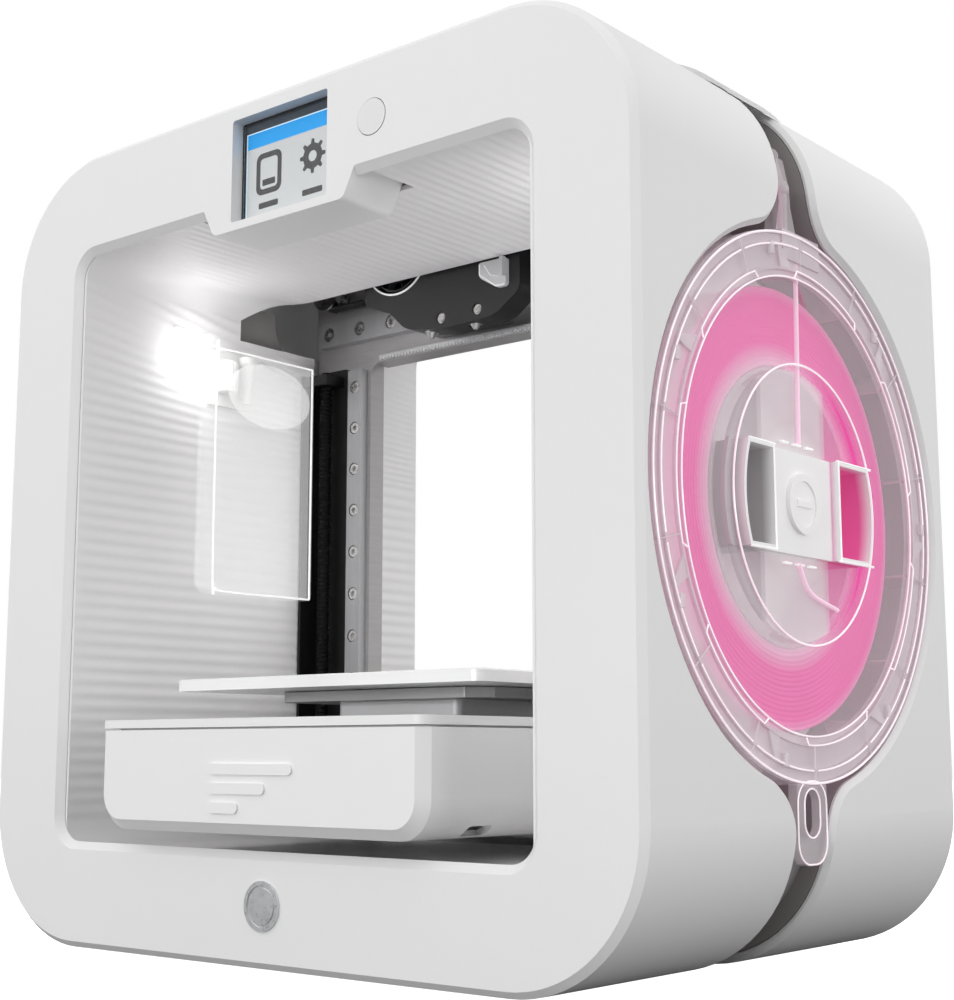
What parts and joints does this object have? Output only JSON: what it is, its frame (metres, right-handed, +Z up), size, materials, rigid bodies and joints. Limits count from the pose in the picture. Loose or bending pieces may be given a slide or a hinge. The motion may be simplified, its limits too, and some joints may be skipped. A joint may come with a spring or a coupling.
{
  "type": "desktop filament 3-D printer",
  "caption": "Open-frame desktop filament printer: rounded square white housing, lifting stage with sliding plate, gantry head and clear side cartridges.",
  "frame": {"origin": "on the table, under the middle of the outer box", "axes": "+X to the right seen from the front, +Y towards the rear, +Z up"},
  "size_m": [0.335, 0.241, 0.343],
  "materials": {
    "shell_white": "satin moulded white",
    "liner_frost": "ribbed frosted light grey",
    "recess_taupe": "fine matt warm grey",
    "base_steel": "zinc plated sheet",
    "circuit_green": "solder mask with parts",
    "socket_black": "matt black",
    "sheet_grey": "grey powder coat on folded sheet",
    "rail_steel": "ground steel",
    "screw_steel": "bright machined steel",
    "drive_black": "satin black",
    "motor_black": "black lacquer",
    "belt_rubber": "toothed black rubber",
    "screen_glass": "clear cover glass",
    "screen_light": "lit display",
    "badge_metal": "satin metal",
    "lamp_lens": "white lamp",
    "foot_rubber": "matt rubber",
    "wiper_white": "white moulding",
    "button_white": "satin moulded white",
    "bin_clear": "thin clear plastic",
    "pulley_metal": "turned metal",
    "head_black": "fine matt black",
    "block_steel": "ground steel",
    "jet_metal": "turned bright metal",
    "bracket_grey": "grey translucent plastic",
    "fan_black": "satin black",
    "stage_white": "satin moulded white",
    "arm_metal": "bead-blasted metal",
    "holder_dark": "dark grey moulding",
    "plate_white": "white glass-like plate",
    "case_clear": "clear moulded plastic",
    "grip_frost": "frosted clear moulding",
    "spool_clear": "clear moulding",
    "filament_pink": "wound pink strand",
    "filament_white": "wound white strand",
    "cover_frost": "frosted translucent moulding"
  },
  "bodies": {
    "housing": {"front_shell": "shell_white", "rear_shell": "shell_white", "front_liner": "liner_frost", "rear_liner": "liner_frost", "right_bay": "recess_taupe", "left_bay": "recess_taupe", "waist_frame": "recess_taupe", "base_pan": "base_steel", "controller_board": "circuit_green", "power_inlet": "socket_black", "gantry_frame": "sheet_grey", "z_rails": "rail_steel", "x_rail": "rail_steel", "rail_screws": "screw_steel", "z_channels": "drive_black", "z_motors": "motor_black", "x_motor": "motor_black", "x_belt": "belt_rubber", "display_panel": "screen_light", "display_window": "screen_glass", "sill_badge": "badge_metal", "chamber_lights": "lamp_lens", "feet": "foot_rubber", "nozzle_wiper": "wiper_white"},
    "power_button": {"power_button": "button_white"},
    "waste_bin": {"waste_bin": "bin_clear"},
    "z_screw_left": {"z_screw_left": "screw_steel"},
    "z_screw_right": {"z_screw_right": "screw_steel"},
    "x_pulley": {"x_pulley": "pulley_metal"},
    "x_idler": {"x_idler": "pulley_metal"},
    "print_head": {"head_block": "block_steel", "head_shell": "head_black", "head_jets": "jet_metal", "sensor_bracket": "bracket_grey", "head_screws": "screw_steel"},
    "head_fan": {"head_fan": "fan_black"},
    "stage": {"stage_housing": "stage_white", "stage_lid": "stage_white", "stage_emblem": "stage_white", "stage_arms": "sheet_grey", "z_bearings": "block_steel", "y_rail": "rail_steel", "y_motor": "motor_black", "y_belt": "belt_rubber"},
    "plate_carriage": {"carriage_arm": "arm_metal", "plate_holder": "holder_dark"},
    "print_plate": {"print_plate": "plate_white"},
    "right_cartridge": {"right_case": "case_clear", "right_cover": "case_clear", "right_tail": "case_clear", "right_hub_grip": "grip_frost"},
    "right_spool": {"right_spool": "spool_clear", "right_filament": "filament_pink"},
    "left_cartridge": {"left_case": "case_clear", "left_cover": "case_clear", "left_tail": "case_clear", "left_hub_grip": "grip_frost"},
    "left_spool": {"left_spool": "spool_clear", "left_filament": "filament_white"},
    "top_cover": {"top_cover": "cover_frost"}
  },
  "joints": [
    {"name": "head_traverse", "type": "slide", "parent": "housing", "child": "print_head", "axis": [1, 0, 0], "range_m": [-0.05, 0.09]},
    {"name": "head_fan_spin", "type": "hinge", "parent": "print_head", "child": "head_fan", "pos_m": [-0.046, 0.012, 0.3025], "axis": [0, 1, 0], "continuous": true},
    {"name": "x_pulley_spin", "type": "hinge", "parent": "housing", "child": "x_pulley", "pos_m": [-0.106, 0.025, 0.3], "axis": [0, 1, 0], "range_deg": [-450, 800]},
    {"name": "x_idler_spin", "type": "hinge", "parent": "housing", "child": "x_idler", "pos_m": [0.106, 0.025, 0.3], "axis": [0, 1, 0], "range_deg": [-450, 800]},
    {"name": "stage_lift", "type": "slide", "parent": "housing", "child": "stage", "axis": [0, 0, 1], "range_m": [0, 0.155]},
    {"name": "z_screw_left_spin", "type": "hinge", "parent": "housing", "child": "z_screw_left", "pos_m": [-0.1095, 0.027, 0.15], "axis": [0, 0, 1], "range_deg": [-10, 6985]},
    {"name": "z_screw_right_spin", "type": "hinge", "parent": "housing", "child": "z_screw_right", "pos_m": [0.1095, 0.027, 0.15], "axis": [0, 0, 1], "range_deg": [-10, 6985]},
    {"name": "plate_travel", "type": "slide", "parent": "stage", "child": "plate_carriage", "axis": [0, 1, 0], "range_m": [-0.076, 0.076]},
    {"name": "plate_pull_off", "type": "slide", "parent": "plate_carriage", "child": "print_plate", "axis": [0, -1, 0], "range_m": [0, 0.06]},
    {"name": "power_button_press", "type": "slide", "parent": "housing", "child": "power_button", "axis": [0, 1, 0], "range_m": [0, 0.0012], "stiffness_N_per_m": 1500, "springref_m": -0.0005},
    {"name": "top_cover_hinge", "type": "hinge", "parent": "housing", "child": "top_cover", "pos_m": [0, 0.017, 0.337], "axis": [-1, 0, 0], "range_deg": [0, 90]},
    {"name": "right_cartridge_out", "type": "slide", "parent": "housing", "child": "right_cartridge", "axis": [1, 0, 0], "range_m": [0, 0.06]},
    {"name": "left_cartridge_out", "type": "slide", "parent": "housing", "child": "left_cartridge", "axis": [-1, 0, 0], "range_m": [0, 0.06]},
    {"name": "right_spool_turn", "type": "hinge", "parent": "right_cartridge", "child": "right_spool", "pos_m": [0.14, -0.0025, 0.1675], "axis": [1, 0, 0], "continuous": true},
    {"name": "left_spool_turn", "type": "hinge", "parent": "left_cartridge", "child": "left_spool", "pos_m": [-0.14, -0.0025, 0.1675], "axis": [1, 0, 0], "continuous": true},
    {"name": "waste_bin_unclip", "type": "slide", "parent": "housing", "child": "waste_bin", "axis": [1, 0, 0], "range_m": [0, 0.012]}
  ],
  "couplings": [
    {"joint": "x_pulley_spin", "follows": "head_traverse", "rad_per_m": 152.67},
    {"joint": "x_idler_spin", "follows": "head_traverse", "rad_per_m": 152.67},
    {"joint": "z_screw_left_spin", "follows": "stage_lift", "rad_per_m": 785.4},
    {"joint": "z_screw_right_spin", "follows": "stage_lift", "rad_per_m": 785.4}
  ]
}
